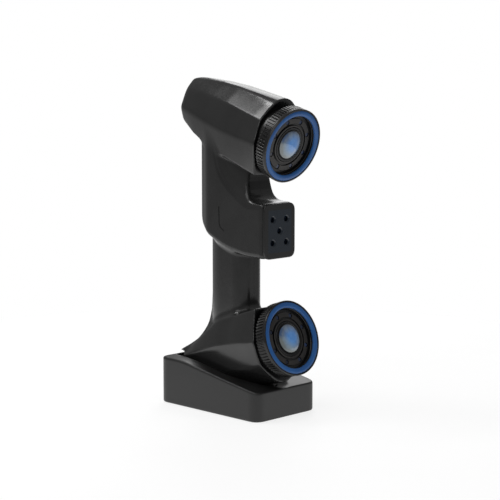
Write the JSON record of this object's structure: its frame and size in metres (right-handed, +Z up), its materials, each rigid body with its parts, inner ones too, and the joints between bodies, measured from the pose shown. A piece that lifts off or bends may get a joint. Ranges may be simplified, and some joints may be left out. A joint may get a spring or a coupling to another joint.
{
  "type": "handheld 3d scanner with desk cradle",
  "caption": "Handheld laser scanner with an upper and a lower camera head, blue-ringed bezels, a laser block and a grip between them, standing in a wedge-shaped desk cradle.",
  "frame": {"origin": "middle of the bounding box on the floor, under the cradle", "axes": "+Z up, the lenses look towards -Y, +X to the right seen from behind the scanner"},
  "size_m": [0.0846, 0.1549, 0.3248],
  "materials": {
    "housing": "satin to glossy moulded plastic, very dark grey",
    "cradle_body": "satin to glossy moulded plastic, very dark grey",
    "ring_black": "semi-gloss black, knurled round the edge",
    "accent_blue": "satin blue",
    "lens_glass": "polished, blue coating",
    "lens_black": "matt black",
    "circuit_board": "green solder mask",
    "aluminium": "machined",
    "brass": "turned",
    "steel": "zinc plated",
    "rubber": "matt, fine grain",
    "front_plate": "satin, faint blue cast",
    "key": "soft-touch",
    "light_pipe": "frosted, translucent",
    "trim_black": "fine texture"
  },
  "bodies": {
    "cradle": {"ballast_plate": "steel", "cover_screw_front_left": "steel", "cover_screw_front_right": "steel", "cover_screw_rear_left": "steel", "cover_screw_rear_right": "steel", "cradle_cover": "trim_black", "cradle_liner": "rubber", "cradle_shell": "cradle_body", "foot_front_left": "rubber", "foot_front_right": "rubber", "foot_rear_left": "rubber", "foot_rear_right": "rubber"},
    "scanner": {"cable_socket": "steel", "front_plate": "front_plate", "housing_left": "housing", "housing_right": "housing", "key_bezel": "trim_black", "laser_1": "brass", "laser_2": "brass", "laser_3": "brass", "laser_4": "brass", "laser_5": "brass", "laser_block": "aluminium", "lower_camera_body": "aluminium", "lower_collar": "ring_black", "lower_lamp_board": "circuit_board", "lower_lamp_face": "lens_black", "lower_lens_barrel": "lens_black", "lower_lens_glass": "lens_glass", "lower_lens_retainer": "lens_black", "lower_sensor_board": "circuit_board", "main_board": "circuit_board", "optical_frame": "aluminium", "shell_screw_1": "steel", "shell_screw_2": "steel", "shell_screw_3": "steel", "shell_screw_4": "steel", "shell_screw_5": "steel", "shell_screw_6": "steel", "socket_insert": "brass", "status_light": "light_pipe", "switch_board": "circuit_board", "upper_camera_body": "aluminium", "upper_collar": "ring_black", "upper_lamp_board": "circuit_board", "upper_lamp_face": "lens_black", "upper_lens_barrel": "lens_black", "upper_lens_glass": "lens_glass", "upper_lens_retainer": "lens_black", "upper_sensor_board": "circuit_board"},
    "upper_bezel": {"upper_bezel_ring": "ring_black", "upper_accent_ring": "accent_blue"},
    "lower_bezel": {"lower_bezel_ring": "ring_black", "lower_accent_ring": "accent_blue"},
    "scan_key": {"scan_key": "key"},
    "plus_key": {"plus_key": "key"},
    "minus_key": {"minus_key": "key"}
  },
  "joints": [
    {"name": "dock_lift", "type": "slide", "parent": "cradle", "child": "scanner", "axis": [0, 0, 1], "range_m": [0, 0.06]},
    {"name": "upper_bezel_turn", "type": "hinge", "parent": "scanner", "child": "upper_bezel", "pos_m": [0, -0.0667, 0.2617], "axis": [0, 0.9553, 0.2957], "range_deg": [0, 30]},
    {"name": "lower_bezel_turn", "type": "hinge", "parent": "scanner", "child": "lower_bezel", "pos_m": [0, -0.0667, 0.0785], "axis": [0, 0.9553, -0.2957], "range_deg": [0, 30]},
    {"name": "scan_key_press", "type": "slide", "parent": "scanner", "child": "scan_key", "axis": [0, -1, 0], "range_m": [0, 0.001], "stiffness_N_per_m": 600},
    {"name": "plus_key_press", "type": "slide", "parent": "scanner", "child": "plus_key", "axis": [0, -1, 0], "range_m": [0, 0.001], "stiffness_N_per_m": 600},
    {"name": "minus_key_press", "type": "slide", "parent": "scanner", "child": "minus_key", "axis": [0, -1, 0], "range_m": [0, 0.001], "stiffness_N_per_m": 600}
  ]
}
